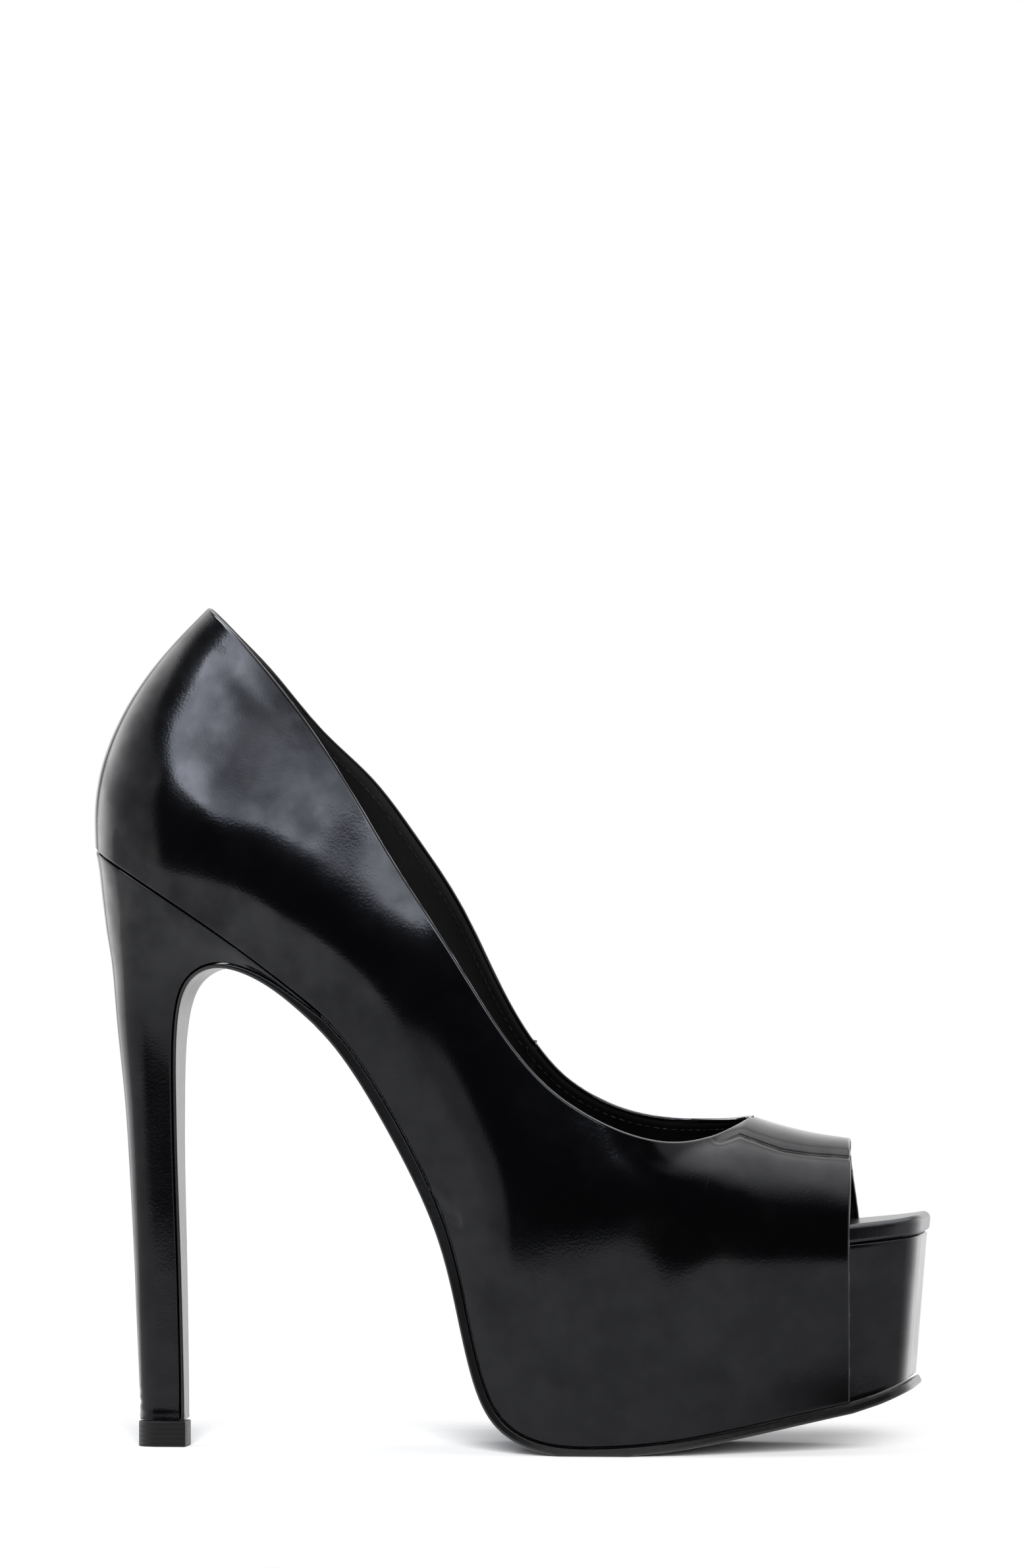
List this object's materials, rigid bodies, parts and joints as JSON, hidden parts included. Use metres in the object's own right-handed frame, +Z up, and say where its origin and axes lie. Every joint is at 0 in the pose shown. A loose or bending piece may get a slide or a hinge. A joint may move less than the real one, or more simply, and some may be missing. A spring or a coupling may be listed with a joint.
{
  "type": "platform pump",
  "caption": "Peep-toe pump in smooth black leather with a hidden platform under the forefoot, a tall covered stiletto heel and a thin sole.",
  "frame": {"origin": "middle of the shoe's outline, on the floor", "axes": "+X from heel to toe, +Y to the inner side of the foot, +Z up"},
  "size_m": [0.2116, 0.0854, 0.2129],
  "materials": {
    "upper_leather": "polished smooth black leather",
    "platform_leather": "polished smooth black leather",
    "insole_leather": "satin black leather",
    "sole": "satin black",
    "heel_leather": "polished smooth black leather",
    "top_piece_rubber": "matte black"
  },
  "bodies": {
    "root": {"upper": "upper_leather", "platform": "platform_leather", "insole": "insole_leather", "outsole": "sole", "heel": "heel_leather", "top_piece": "top_piece_rubber"}
  },
  "joints": []
}
